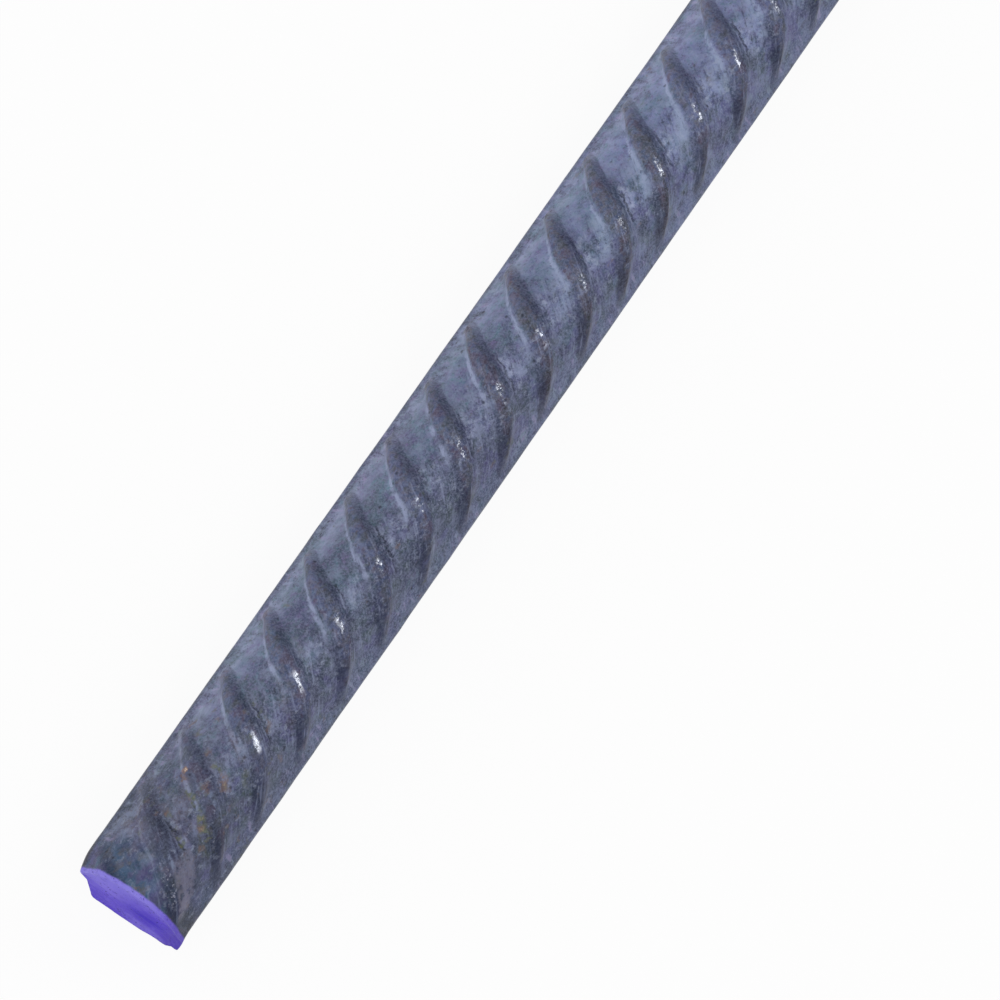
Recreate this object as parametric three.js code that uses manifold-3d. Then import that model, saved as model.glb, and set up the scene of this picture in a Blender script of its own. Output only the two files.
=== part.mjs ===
// A cut length of deformed reinforcing bar: hot-rolled steel with a round core, two
// longitudinal ribs on opposite sides and both ends cropped in a bar shear.
//
// Millimetres, +Z up. The bar lies along X with its longitudinal ribs level, one towards +Y
// and one towards -Y, and its underside touches Z = 0. The end at -X is the colour-coded one.
// The crescent-shaped transverse ribs, under a millimetre high, are surface relief and are
// not part of this solid.
import * as THREE from "three";
import { mergeVertices } from "three/addons/utils/BufferGeometryUtils.js";
import Module from "manifold-3d";

// Bar.
const BAR_LENGTH = 609.6; // over the two cropped faces: a 24 inch length
const CORE_DIAMETER = 12.2; // the round barrel between the ribs, nominal size 12.7

// Longitudinal ribs, the two seams that the rolling grooves leave along the bar. Each flank
// is a plane that leaves the core along its tangent.
const RIB_HEIGHT = 0.75; // above the core
const RIB_CREST_WIDTH = 1.6;

// Cropped ends. The blade presses a sloping flat into one side before the steel parts.
const BLADE_FLAT_LENGTH = 4.5; // along the bar
const BLADE_FLAT_DEPTH = 0.55; // at the cropped face
const EDGE_ROLL = 0.4; // rounding between the flat and the face
const SHEAR_STAGGER = 180; // degrees about Y from one end's flat to the other's: opposite sides

// Facets. The core's count is odd, so that a facet and not an edge is lowest, as it lies.
const CORE_FACETS = 11; // each of the two arcs between the ribs
const CREST_FACETS = 3;
const ROLL_FACETS = 4;
const LENGTH_STEPS = 12;

const TOOL_OVERHANG = 4; // how far the cutting tool stands out of the bar on every side

const coreRadius = CORE_DIAMETER / 2;
const crestRadius = coreRadius + RIB_HEIGHT;
const crestHalfAngle = Math.asin(RIB_CREST_WIDTH / 2 / crestRadius);
const flankAngle = Math.acos(coreRadius / crestRadius); // from a crest's edge to its root

const wasm = await Module();
wasm.setup();

/** An arc about the bar's axis as points, by its radius and its angles from the +Y rib. */
function arcPoints(radius, from, to, facets) {
  return new THREE.EllipseCurve(0, 0, radius, radius, from, to).getPoints(facets);
}

/** The crest of the rib centred on an angle and the core's arc that follows it, anticlockwise. */
function crestAndCore(centre) {
  const crestEnd = centre + crestHalfAngle;
  const coreStart = crestEnd + flankAngle;
  const coreEnd = centre + Math.PI - crestHalfAngle - flankAngle;
  return [
    ...arcPoints(crestRadius, centre - crestHalfAngle, crestEnd, CREST_FACETS),
    ...arcPoints(coreRadius, coreStart, coreEnd, CORE_FACETS),
  ];
}

/** The bar's cross-section: x is the bar's Y and y its Z, about the bar's axis. */
function barSection() {
  return new THREE.Shape([...crestAndCore(0), ...crestAndCore(Math.PI)]);
}

/** The rolled bar between its two faces, centred on its axis. */
function rolledBar() {
  const bar = new THREE.ExtrudeGeometry(barSection(), {
    depth: BAR_LENGTH,
    steps: LENGTH_STEPS,
    bevelEnabled: false,
  });
  bar.translate(0, 0, -BAR_LENGTH / 2);
  const alongX = new THREE.Matrix4().makeBasis(
    new THREE.Vector3(0, 1, 0),
    new THREE.Vector3(0, 0, 1),
    new THREE.Vector3(1, 0, 0),
  );
  return bar.applyMatrix4(alongX);
}

/**
 * The steel that one stroke of the shear displaces at the -X end, seen from -Y: x runs along
 * the bar and y up. Above the blade's flat and its rolled edge the face is plane.
 */
function shearProfile() {
  const face = -BAR_LENGTH / 2;
  const underside = -coreRadius;
  const flatTop = underside + BLADE_FLAT_DEPTH;
  const profile = new THREE.Shape();
  profile.moveTo(face + BLADE_FLAT_LENGTH, underside);
  profile.lineTo(face + EDGE_ROLL, flatTop);
  profile.quadraticCurveTo(face, flatTop, face, flatTop + EDGE_ROLL);
  profile.lineTo(face, crestRadius + TOOL_OVERHANG);
  profile.lineTo(face - TOOL_OVERHANG, crestRadius + TOOL_OVERHANG);
  profile.lineTo(face - TOOL_OVERHANG, underside - TOOL_OVERHANG);
  profile.lineTo(face + BLADE_FLAT_LENGTH, underside - TOOL_OVERHANG);
  profile.closePath();
  return profile;
}

/** The shear tool across the bar at the -X end. */
function shearTool() {
  const width = 2 * (crestRadius + TOOL_OVERHANG);
  const tool = new THREE.ExtrudeGeometry(shearProfile(), {
    depth: width,
    curveSegments: ROLL_FACETS,
    bevelEnabled: false,
  });
  tool.translate(0, 0, -width / 2);
  return tool.rotateX(Math.PI / 2);
}

/** A closed geometry as a manifold-3d solid, with only its positions kept. */
function solidOf(geometry) {
  const bare = geometry.clone();
  bare.deleteAttribute("normal");
  bare.deleteAttribute("uv");
  const merged = mergeVertices(bare, 1e-4);
  const mesh = new wasm.Mesh({
    numProp: 3,
    vertProperties: merged.attributes.position.array,
    triVerts: new Uint32Array(merged.index.array),
  });
  return new wasm.Manifold(mesh);
}

/** A manifold-3d solid as a flat-shaded geometry. */
function geometryOf(solid) {
  const mesh = solid.getMesh();
  const geometry = new THREE.BufferGeometry();
  geometry.setAttribute("position", new THREE.BufferAttribute(mesh.vertProperties, 3));
  geometry.setIndex(new THREE.BufferAttribute(mesh.triVerts, 1));
  const faceted = geometry.toNonIndexed();
  faceted.computeVertexNormals();
  return faceted;
}

/** The bar with both ends cropped, standing on Z = 0. */
function croppedBar() {
  const nearTool = shearTool();
  const farTool = shearTool().rotateY(THREE.MathUtils.degToRad(SHEAR_STAGGER));
  const cropped = solidOf(rolledBar()).subtract(solidOf(nearTool)).subtract(solidOf(farTool));
  const geometry = geometryOf(cropped);
  geometry.computeBoundingBox();
  return geometry.translate(0, 0, -geometry.boundingBox.min.z);
}

const millScaleSteel = new THREE.MeshStandardMaterial({
  name: "mill_scale_steel",
  color: 0x666c82,
  roughness: 0.5,
  metalness: 0.7,
});

const bar = new THREE.Mesh(croppedBar(), millScaleSteel);
bar.name = "deformed_bar";

const part = new THREE.Group();
part.add(bar);

export default part;
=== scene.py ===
"""Looks of a cut length of deformed reinforcing bar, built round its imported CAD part.

The bar is one hot-rolled piece: a round core with two longitudinal ribs and two rows of
crescent ribs, in blue-grey mill scale, cropped at both ends and painted on one of them.
Lengths are metres and angles degrees, unless a name says otherwise.
"""

import logging  # noqa: E402
from dataclasses import dataclass, field  # noqa: E402
from enum import Enum  # noqa: E402
from functools import reduce  # noqa: E402

import bpy  # noqa: E402
import numpy as np  # noqa: E402
from mathutils import Matrix, Vector  # noqa: E402


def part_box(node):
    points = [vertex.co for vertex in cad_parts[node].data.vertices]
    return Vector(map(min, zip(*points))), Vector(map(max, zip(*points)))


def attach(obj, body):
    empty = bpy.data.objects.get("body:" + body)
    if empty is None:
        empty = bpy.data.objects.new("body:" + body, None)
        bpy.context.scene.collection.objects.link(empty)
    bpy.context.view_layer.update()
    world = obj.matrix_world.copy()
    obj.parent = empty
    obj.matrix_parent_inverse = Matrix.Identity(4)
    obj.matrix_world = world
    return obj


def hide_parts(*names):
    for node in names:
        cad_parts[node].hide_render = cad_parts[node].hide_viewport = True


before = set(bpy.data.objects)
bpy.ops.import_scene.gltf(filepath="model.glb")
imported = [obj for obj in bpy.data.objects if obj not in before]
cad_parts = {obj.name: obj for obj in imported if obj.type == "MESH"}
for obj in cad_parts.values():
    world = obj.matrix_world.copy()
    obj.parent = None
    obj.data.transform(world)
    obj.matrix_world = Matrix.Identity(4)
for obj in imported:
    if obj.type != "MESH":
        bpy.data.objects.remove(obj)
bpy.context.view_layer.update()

MM = 0.001
CORE_RADIUS = 6.1 * MM
FULL_PLACE = 3.0
FLOOR_GAP = 0.05 * MM
NODE = "deformed_bar"
BODY = "root"
LOG = logging.getLogger("reinforcing_bar")

Array = np.ndarray
Socket = bpy.types.NodeSocket
Triple = tuple[float, float, float]
Shown = tuple[int, int, int]


def srgb(shown: Shown) -> Triple:
    """Turns a colour in display bytes into linear light.

    Args:
        shown: Red, green and blue, 0 to 255.

    Returns:
        The three channels in linear light.
    """
    share = np.array(shown) / 255.0
    linear = np.where(share <= 0.04045, share / 12.92, ((share + 0.055) / 1.055) ** 2.4)
    return tuple(float(channel) for channel in linear)


def smooth(share: Array) -> Array:
    """Eases a share between 0 and 1: three times its square less twice its cube."""
    held = np.clip(share, 0.0, 1.0)
    return held * held * (3.0 - 2.0 * held)


def smooth_curve(knots: Array, values: Array, at: Array) -> Array:
    """Joins knots by cubic arcs whose slope at a knot is that of its neighbours.

    Args:
        knots: Rising places.
        values: The value at each knot.
        at: Where to read the curve; past the knots it keeps its end value.

    Returns:
        The curve's value at each place.
    """
    at = np.clip(at, knots[0], knots[-1])
    slopes = np.gradient(values, knots)
    i = np.clip(np.searchsorted(knots, at, side="right") - 1, 0, len(knots) - 2)
    step = knots[i + 1] - knots[i]
    t = (at - knots[i]) / step
    rise = (2 * t**3 - 3 * t**2 + 1) * values[i] + (3 * t**2 - 2 * t**3) * values[i + 1]
    lean = (t**3 - 2 * t**2 + t) * slopes[i] + (t**3 - t**2) * slopes[i + 1]
    return rise + step * lean


class End(Enum):
    """The bar's two cropped ends, as the direction of X that each one faces."""

    MARKED = -1.0
    PLAIN = 1.0


@dataclass(frozen=True)
class Wander:
    """Smooth, seeded unevenness over the bar: a sum of cosine waves.

    Each wave runs along the bar and a whole number of times round it, so the sum closes on
    itself. Its value has a spread of about 1.
    """

    seed: int
    longest: float
    shortest: float
    most_turns: int
    waves: int = 40

    def over(self, x: Array, angle: Array | float = 0.0) -> Array:
        """Sums the waves: amplitude times cos(2 pi x / length + turns * angle + phase).

        Args:
            x: Places along the bar.
            angle: Angles round the bar, in radians.

        Returns:
            The unevenness at each place.
        """
        draw = np.random.default_rng(self.seed)
        stretch = draw.uniform(0.0, 1.0, self.waves)
        lengths = self.longest * (self.shortest / self.longest) ** stretch
        turns = draw.integers(-self.most_turns, self.most_turns + 1, self.waves)
        phases = draw.uniform(0.0, 2.0 * np.pi, self.waves)
        signs = draw.choice([-1.0, 1.0], self.waves)
        total = np.zeros(np.broadcast(x, angle).shape)
        for length, turn, phase, sign in zip(lengths, turns, phases, signs):
            total += np.cos(sign * 2.0 * np.pi * x / length + turn * angle + phase)
        return total * np.sqrt(2.0 / self.waves)


@dataclass
class LongitudinalRibs:
    """The two straight ribs that run the bar's whole length, left where the rolls part.

    A rib's flanks are planes that leave the core along its tangent, so the section is a
    circle drawn out to a blunt point on each side.
    """

    height: float = 0.75 * MM
    crest_half_angle: float = 6.7
    edge_blend: float = 0.04 * MM
    crest_columns: tuple[float, ...] = (0.3, 0.75, 1.0, 1.3)
    flank_columns: int = 8

    @property
    def root_half_angle(self) -> float:
        """The angle from a rib's middle to where its flank leaves the core."""
        spread = np.degrees(np.arccos(CORE_RADIUS / (CORE_RADIUS + self.height)))
        return self.crest_half_angle + float(spread)

    def relief(self, angle: Array) -> Array:
        """Gives the ribs' height: the tangent plane's height, held to the crest's height.

        The plane's height is the core radius divided by the cosine of the angle from the root,
        less the core radius, and the two meet in a small rounding.

        Args:
            angle: Angles from the top of the bar, in degrees.

        Returns:
            Height over the core.
        """
        off = np.abs(np.abs((angle + 180.0) % 360.0 - 180.0) - 90.0)
        turned = np.radians(np.clip(self.root_half_angle - off, 0.0, None))
        plane = CORE_RADIUS / np.cos(turned) - CORE_RADIUS
        blend = self.edge_blend
        held = -blend * np.logaddexp(-plane / blend, -self.height / blend)
        empty = -blend * np.logaddexp(0.0, -self.height / blend)
        return held - empty

    def columns(self) -> Array:
        """Places the mesh's columns on a rib: a few on its crest and more on each flank.

        Returns:
            Rising angles from the rib's middle, in degrees.
        """
        crest = self.crest_half_angle * np.array(self.crest_columns)
        flank = np.linspace(crest[-1], self.root_half_angle, self.flank_columns + 1)[1:]
        side = np.concatenate([crest, flank])
        return np.sort(np.concatenate([-side, side]))


@dataclass
class CrescentRibs:
    """The two rows of slanting ribs between the longitudinal ones.

    A rib is bounded by four lines that curve round the bar: its left foot, the two edges of
    its crest, and its right foot. Each is a place along the bar as a function of the angle
    from the middle of the row. The lower row is the upper one turned half round the bar.
    """

    pitch: float = 8.0 * MM
    first: float = 5.4 * MM
    height: float = 0.78 * MM
    crown: float = 0.30
    lower_row_shift: float = -1.6 * MM
    seed: int = 11
    angles: tuple[float, ...] = (
        -75, -68, -60, -52, -43, -35, -27, -18, -10, -2, 7, 15, 23, 32, 40, 48, 57, 65, 76,
    )
    left_foot_mm: tuple[float, ...] = (
        4.2, 3.75, 3.25, 2.55, 1.60, 0.80, -0.05, -0.75, -1.22, -1.70, -2.40, -3.15, -3.75,
        -4.15, -4.65, -5.20, -5.90, -6.45, -6.9,
    )
    left_crest_mm: tuple[float, ...] = (
        5.1, 4.60, 4.05, 3.25, 2.25, 1.50, 0.68, 0.00, -0.50, -0.95, -1.36, -1.80, -2.30,
        -2.90, -3.45, -4.00, -4.70, -5.30, -5.8,
    )
    right_crest_mm: tuple[float, ...] = (
        6.0, 5.55, 5.15, 4.50, 3.65, 3.15, 2.60, 2.20, 1.78, 1.22, 0.72, 0.20, -0.45, -1.25,
        -2.15, -2.90, -3.75, -4.50, -5.2,
    )
    right_foot_mm: tuple[float, ...] = (
        6.9, 6.45, 6.05, 5.65, 4.90, 4.38, 3.80, 3.38, 2.85, 2.50, 1.95, 1.50, 0.95, 0.30,
        -0.55, -1.45, -2.60, -3.60, -4.5,
    )
    height_share: tuple[float, ...] = (
        0.0, 0.55, 0.85, 0.97, 1.0, 1.0, 1.0, 1.0, 1.0, 1.0, 1.0, 1.0, 0.97, 0.90, 0.79, 0.63,
        0.46, 0.29, 0.0,
    )
    worn: tuple[float, ...] = (0.30, 0.35, 0.62, 0.95)
    lower_wear: float = 0.5
    height_spread: float = 0.06
    place_spread: float = 0.06 * MM
    draws: int = 256
    first_draw: int = 8
    rows_per_span: tuple[int, ...] = (2, 2, 2, 4)

    def in_row(self, angle: Array) -> tuple[Array, Array]:
        """Splits an angle from the top into its row and the angle from that row's middle.

        A row begins with its ribs, so the two parts meet inside the longitudinal ribs.

        Args:
            angle: Angles from the top of the bar, in degrees.

        Returns:
            1 for the lower row and 0 for the upper, and the angle in the row.
        """
        first = self.angles[0]
        turned = (np.asarray(angle, float) - first) % 360.0
        lower = (turned >= 180.0).astype(float)
        return lower, turned % 180.0 + first

    def line(self, places_mm: tuple[float, ...], angle: Array) -> Array:
        """Gives one of the four lines as a place along the bar from the crest's middle.

        Along the ribs it is a smooth curve through the listed places. Past the ribs' ends it
        eases over to where the other row's line begins, so that a mesh row closes on itself.

        Args:
            places_mm: The line's place at each of the listed angles.
            angle: Angles from the top of the bar, in degrees.

        Returns:
            Distance along the bar.
        """
        lower, local = self.in_row(angle)
        knots = np.array(self.angles, float)
        along = smooth_curve(knots, np.array(places_mm) * MM, local)
        gap = smooth((local - knots[-1]) / (knots[0] + 180.0 - knots[-1]))
        back = (places_mm[0] - places_mm[-1]) * MM
        step = self.lower_row_shift * np.where(lower > 0, -1.0, 1.0)
        return along + self.lower_row_shift * lower + gap * (back + step)

    def lines(self, angle: Array) -> list[Array]:
        """Gives all four lines at some angles: left foot, crest edges, right foot."""
        tables = (self.left_foot_mm, self.left_crest_mm, self.right_crest_mm, self.right_foot_mm)
        return [self.line(table, angle) for table in tables]

    def relief(self, x: Array, angle: Array) -> tuple[Array, Array]:
        """Gives the ribs' height: a crowned crest with an eased flank down to each foot.

        Each rib is a little higher or lower and a little out of place, by a seeded table.

        Args:
            x: Distance along the bar from the marked end.
            angle: Angles from the top of the bar, in degrees.

        Returns:
            Height over the core, and the place across the rib: -1 and 1 on its crest's
            edges, -2 and 2 at its feet, and up to 3 in the valley beyond them.
        """
        lower, local = self.in_row(angle)
        left_foot, left, right, right_foot = self.lines(angle)
        middle, half = (left + right) / 2.0, (right - left) / 2.0
        number = np.rint((x - self.first - (left_foot + right_foot) / 2.0) / self.pitch)
        uneven = np.random.default_rng(self.seed).normal(0.0, 1.0, (2, self.draws))
        index = number + self.first_draw + self.draws // 2 * lower
        index = index.astype(int) % self.draws
        rolled = 1.0 + self.height_spread * uneven[0][index]
        slip = self.place_spread * uneven[1][index]
        off = x - self.first - number * self.pitch - slip - middle
        out_left = (-off - half) / (left - left_foot)
        out_right = (off - half) / (right_foot - right)
        out = np.maximum(np.maximum(out_left, out_right), 0.0)
        inside = np.clip(off / half, -1.0, 1.0)
        across = smooth(1.0 - out) * (1.0 - self.crown * inside**2)
        along = np.interp(local, self.angles, self.height_share)
        kept = np.interp(number, np.arange(len(self.worn) + 1) - 1, [*self.worn, 1.0])
        kept = np.where(lower > 0, 1.0 - self.lower_wear * (1.0 - kept), kept)
        beyond = np.sign(off) * (1.0 + np.minimum(out, FULL_PLACE - 1.0))
        place = np.where(out > 0.0, beyond, inside)
        return self.height * along * across * rolled * kept, place

    def stops(self, angle: Array) -> Array:
        """Gives one pitch's mesh rows: on each line, between them, and over the valley.

        Args:
            angle: The columns' angles.

        Returns:
            Places from the crest's middle, rows by columns.
        """
        marks = self.lines(angle)
        marks.append(marks[0] + self.pitch)
        spans = zip(marks, marks[1:], self.rows_per_span)
        return np.stack([a + (b - a) * k / n for a, b, n in spans for k in range(n)])


@dataclass
class ShearedEnd:
    """A cropped end: a rolled edge, a sloping flat pressed by the blade, and a lip of burr.

    Across is the direction along the cut's edge and up the direction away from the flat.
    The marked end's flat is underneath and the plain end's on top, the same end turned half
    round the Y axis.
    """

    end: End
    seed: int
    flat_depth: float = 0.55 * MM
    flat_length: float = 4.5 * MM
    edge_roll: float = 0.20 * MM
    roll_from: float = -1.8 * MM
    roll_over: float = 3.0 * MM
    rib_from: float = 5.2 * MM
    rib_over: float = 1.4 * MM
    pinch: float = 0.55 * MM
    pinch_length: float = 3.0 * MM
    flare: float = 0.22 * MM
    flare_length: float = 1.6 * MM
    flare_drop: float = 1.6
    corner_across: float = 5.45 * MM
    corner_lean: float = 0.30
    corner_fade: float = 0.42
    corner_top: float = 0.3 * MM
    rounding: float = 0.06 * MM
    lip_top: float = 0.42 * MM
    lip_over: float = 1.2 * MM
    lip_across_mm: tuple[float, ...] = (
        -7.2, -6.4, -5.2, -4.3, -3.6, -2.6, -1.6, -0.6, 1.0, 3.2, 4.4, 5.4, 6.2, 6.8, 7.3,
    )
    lip_mm: tuple[float, ...] = (
        0.0, -0.04, 0.0, 0.10, 0.24, 0.12, 0.10, 0.12, 0.08, 0.05, 0.13, 0.30, 0.38, 0.58, 0.50,
    )
    bruise: float = 0.22 * MM
    bruise_from: float = 0.6 * MM
    bruise_over: float = 5.0 * MM
    fold_depth: float = 0.035 * MM
    fold_lengths: tuple[float, float] = (9.0 * MM, 1.6 * MM)
    fold_run: tuple[float, float] = (0.35, 1.3)
    patch_depth: float = 0.03 * MM
    patch_lengths: tuple[float, float] = (14.0 * MM, 3.0 * MM)
    patch_run: tuple[float, float] = (1.0, -0.6)
    below_plane: float = 1.2

    def press(self, from_face: Array, across: Array, up: Array) -> tuple[Array, Array]:
        """Shapes the section near the face.

        The flat holds points over a plane that rises towards the face; the rib on one side is
        pinched in and the other flared out, both fading by a square; the corner under the
        pinched rib is held inside a leaning plane; and the upper edge is rolled to a quarter
        circle.

        Args:
            from_face: Distance from the face, along the bar.
            across: Place along the cut's edge, from the bar's axis.
            up: Place away from the flat, from the bar's axis.

        Returns:
            The new across and up.
        """

        def fade(length: float) -> Array:
            """Gives the share of the way to the face, from a length before it."""
            return np.clip(1.0 - from_face / length, 0.0, 1.0)

        radius = np.hypot(across, up)
        roll = self.edge_roll * (1.0 - np.sqrt(1.0 - fade(self.edge_roll) ** 2))
        roll *= smooth((up - self.roll_from) / self.roll_over)
        scale = (radius - roll) / radius
        across, up = across * scale, up * scale
        rib = smooth((np.abs(across) - self.rib_from) / self.rib_over)
        pinched = self.pinch * fade(self.pinch_length) ** 2
        flared = self.flare * fade(self.flare_length) ** 2
        across = across + rib * np.where(across < 0.0, pinched, flared)
        up = up - rib * np.where(across < 0.0, 0.0, self.flare_drop * flared)
        floor = self.flat_depth * fade(self.flat_length) - CORE_RADIUS
        soft = self.rounding
        corner = self.corner_across + self.corner_lean * up + self.corner_fade * from_face
        excess = soft * np.logaddexp(0.0, (-across - corner) / soft)
        across = across + excess * smooth((self.corner_top - up) / MM)
        held = floor + soft * np.logaddexp(0.0, (up - floor) / soft)
        return across, np.where(from_face < self.flat_length, np.maximum(held, up), up)

    def lip(self, across: Array, up: Array) -> Array:
        """Gives how far the burr stands out along the bar, on the side with the flat.

        Args:
            across: Place along the cut's edge, from the bar's axis.
            up: Place away from the flat.

        Returns:
            Distance out of the face.
        """
        height = np.interp(across / MM, self.lip_across_mm, self.lip_mm) * MM
        return height * smooth((self.lip_top - up) / self.lip_over)

    def face(self, across: Array, up: Array) -> Array:
        """Gives the torn unevenness of the face, as distance into the bar.

        The upper part leans back, as the blade bruises the bar before it tears, and shallow
        folds and patches run over it, each by its own sum of across and up.

        Args:
            across: Place along the cut's edge.
            up: Place away from the flat.

        Returns:
            Depth below the plane of the cut.
        """
        lean = self.bruise * smooth((up - self.bruise_from) / self.bruise_over)
        folds = Wander(self.seed, *self.fold_lengths, most_turns=0, waves=24)
        folds = folds.over(across * self.fold_run[0] + up * self.fold_run[1])
        patches = Wander(self.seed + 1, *self.patch_lengths, most_turns=0, waves=16)
        patches = patches.over(across * self.patch_run[0] + up * self.patch_run[1])
        folds = self.fold_depth * (folds + self.below_plane)
        return lean + folds + self.patch_depth * (patches + self.below_plane)


@dataclass
class DeformedBar:
    """The whole bar as one closed surface: a place along it and an angle round it."""

    low: Vector
    high: Vector
    long_ribs: LongitudinalRibs = field(default_factory=LongitudinalRibs)
    crescents: CrescentRibs = field(default_factory=CrescentRibs)
    ends: tuple[ShearedEnd, ShearedEnd] = (
        ShearedEnd(End.MARKED, seed=21),
        ShearedEnd(End.PLAIN, seed=31),
    )
    swell: Wander = Wander(5, 40 * MM, 6 * MM, 5)
    swell_height: float = 0.012 * MM
    skin: Wander = Wander(6, 5 * MM, 1.6 * MM, 12, 60)
    skin_height: float = 0.010 * MM
    span_columns: int = 34
    row_change: float = 0.03
    end_rows: int = 40
    rim_rows: tuple[float, ...] = (0.0, 0.04, 0.10, 0.18, 0.28, 0.42)
    end_zone: float = 13.0 * MM
    lip_fade: float = 0.35 * MM
    cap_rings: tuple[float, ...] = (0.985, 0.95, 0.90, 0.82, 0.72, 0.60, 0.46, 0.31, 0.16, 0.0)
    cap_fade: float = 0.45 * MM

    @property
    def length(self) -> float:
        """The bar's length, from the CAD part's box."""
        return self.high.x - self.low.x

    @property
    def axis_height(self) -> float:
        """The height of the bar's axis, half way up the CAD part's box."""
        return (self.low.z + self.high.z) / 2.0

    def angles(self) -> Array:
        """Gives the angle of every column, closest where the longitudinal ribs turn.

        A close pair stands where one row of crescent ribs gives way to the other, so that
        the masks change over within a hair's width there.

        Returns:
            Rising angles from the top of the bar, in degrees.
        """
        edge = 90.0 - self.long_ribs.root_half_angle
        span = np.linspace(-edge, edge, self.span_columns + 1)[1:-1]
        half = np.concatenate([span, self.long_ribs.columns() + 90.0])
        change = self.crescents.angles[0] + 180.0
        half = half[np.abs(half - change) > self.row_change]
        half = np.sort(np.append(half, [change - self.row_change, change + self.row_change]))
        return np.concatenate([half, half + 180.0])

    def rows(self, angle: Array) -> Array:
        """Gives every row's place along the bar at each column, from the marked end.

        Between the end zones the rows follow the ribs. In each end zone they go from the flat
        face to the first such row in even shares of the way.

        Args:
            angle: The columns' angles.

        Returns:
            An array of rows by columns.
        """
        ribs = self.crescents
        first = int(np.ceil((self.end_zone - ribs.first) / ribs.pitch))
        last = int(np.floor((self.length - self.end_zone - ribs.first) / ribs.pitch))
        centre = ribs.first + ribs.pitch * np.arange(first, last)
        middle = (centre[:, None, None] + ribs.stops(angle)[None]).reshape(-1, len(angle))
        rim = np.array(self.rim_rows)[:, None] * MM * np.ones((1, len(angle)))
        share = np.linspace(0.0, 1.0, self.end_rows + 1)[1:-1, None]
        near = rim[-1] + share * (middle[0] - rim[-1])
        far = middle[-1] + share * (self.length - rim[-1] - middle[-1])
        return np.concatenate([rim, near, middle, far, self.length - rim[::-1]])

    def surface(self) -> tuple[Array, dict[str, Array]]:
        """Works out the barrel: radius is the core plus both kinds of rib plus unevenness.

        A point's height is the radius times the cosine of its angle and its place across the
        radius times the sine, and the ends are then pressed to shape.

        Returns:
            Points as rows by columns by three, and masks of the same rows and columns.
        """
        angle = self.angles()[None, :]
        x = self.rows(angle[0])
        turn = np.radians(angle) + 0.0 * x
        crescent, place = self.crescents.relief(x, angle + 0.0 * x)
        seam = self.long_ribs.relief(angle)
        uneven = self.swell_height * self.swell.over(x, turn)
        rough = self.skin_height * self.skin.over(x, turn)
        radius = CORE_RADIUS + seam + crescent + uneven + rough
        across, up = radius * np.sin(turn), radius * np.cos(turn)
        out = np.zeros_like(x)
        for end in self.ends:
            side = -end.end.value
            from_face = x if end.end is End.MARKED else self.length - x
            across, raised = end.press(from_face, across, side * up)
            up = side * raised
            out = out - side * end.lip(across, raised) * np.exp(-from_face / self.lip_fade)
        points = np.stack([self.low.x + x + out, -across, self.axis_height + up], axis=-1)
        phase = place * np.pi / FULL_PLACE
        masks = {
            "relief": crescent / self.crescents.height,
            "rib_sine": np.sin(phase),
            "rib_cosine": np.cos(phase),
            "row_angle": self.crescents.in_row(angle)[1] / 90.0 + 0.0 * x,
            "seam": seam / self.long_ribs.height + 0.0 * x,
        }
        return points, masks

    def cap(self, rim: Array, end: ShearedEnd) -> Array:
        """Works out a face: rings that shrink from the rim to a middle point.

        A ring's point is the axis point plus the ring's share of the way to the rim, moved into
        the bar by the face's unevenness, which fades out at the rim.

        Args:
            rim: The barrel's first or last row, columns by three.
            end: The end that the face belongs to.

        Returns:
            Rings by columns by three, of which the last has no width.
        """
        side = end.end.value
        share = np.array(self.cap_rings)[:, None]
        across = -rim[None, :, 1] * share
        up = (rim[None, :, 2] - self.axis_height) * share
        plane = self.low.x if end.end is End.MARKED else self.high.x
        stand = (rim[None, :, 0] - plane) * side
        fade = np.exp(-(1.0 - share) * CORE_RADIUS / self.cap_fade)
        sunk = end.face(across, -side * up) * (1.0 - fade)
        x = plane + side * (stand * fade - sunk)
        return np.stack([x, -across, self.axis_height + up], axis=-1)

    def build(self) -> bpy.types.Object:
        """Builds the bar's mesh, with its faces turned outwards and its masks as attributes.

        Returns:
            The bar, linked to the scene.
        """
        barrel, masks = self.surface()
        count, columns, _ = barrel.shape
        points = barrel.reshape(-1, 3)
        numbers = np.arange(len(points)).reshape(count, columns)
        faces, slots = self._quads(numbers).tolist(), [0] * ((count - 1) * columns)
        fans = []
        for slot, (row, end) in enumerate(zip((0, -1), self.ends), 1):
            *rings, middle = self.cap(barrel[row], end)
            grid = len(points) + np.arange(len(rings) * columns).reshape(-1, columns)
            points = np.concatenate([points, *rings, middle[:1]])
            hub = np.full(columns, len(points) - 1)
            quads = self._quads(np.concatenate([numbers[row][None], grid]))
            inner = np.stack([grid[-1], np.roll(grid[-1], -1), hub], axis=-1)
            if end.end is End.MARKED:
                quads, inner = quads[:, ::-1], inner[:, ::-1]
            faces += quads.tolist()
            slots += [slot] * len(quads)
            fans += [(face, slot) for face in inner.tolist()]
        mesh = bpy.data.meshes.new(NODE)
        mesh.from_pydata(points, [], faces + [face for face, _ in fans])
        slots += [slot for _, slot in fans]
        mesh.polygons.foreach_set("material_index", slots)
        mesh.polygons.foreach_set("use_smooth", [True] * len(slots))
        mesh.validate()
        for name, mask in masks.items():
            values = np.zeros(len(points), np.float32)
            values[: mask.size] = mask.ravel()
            mesh.attributes.new(name, "FLOAT", "POINT").data.foreach_set("value", values)
        bar = bpy.data.objects.new("rolled_bar", mesh)
        bpy.context.scene.collection.objects.link(bar)
        return bar

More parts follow.
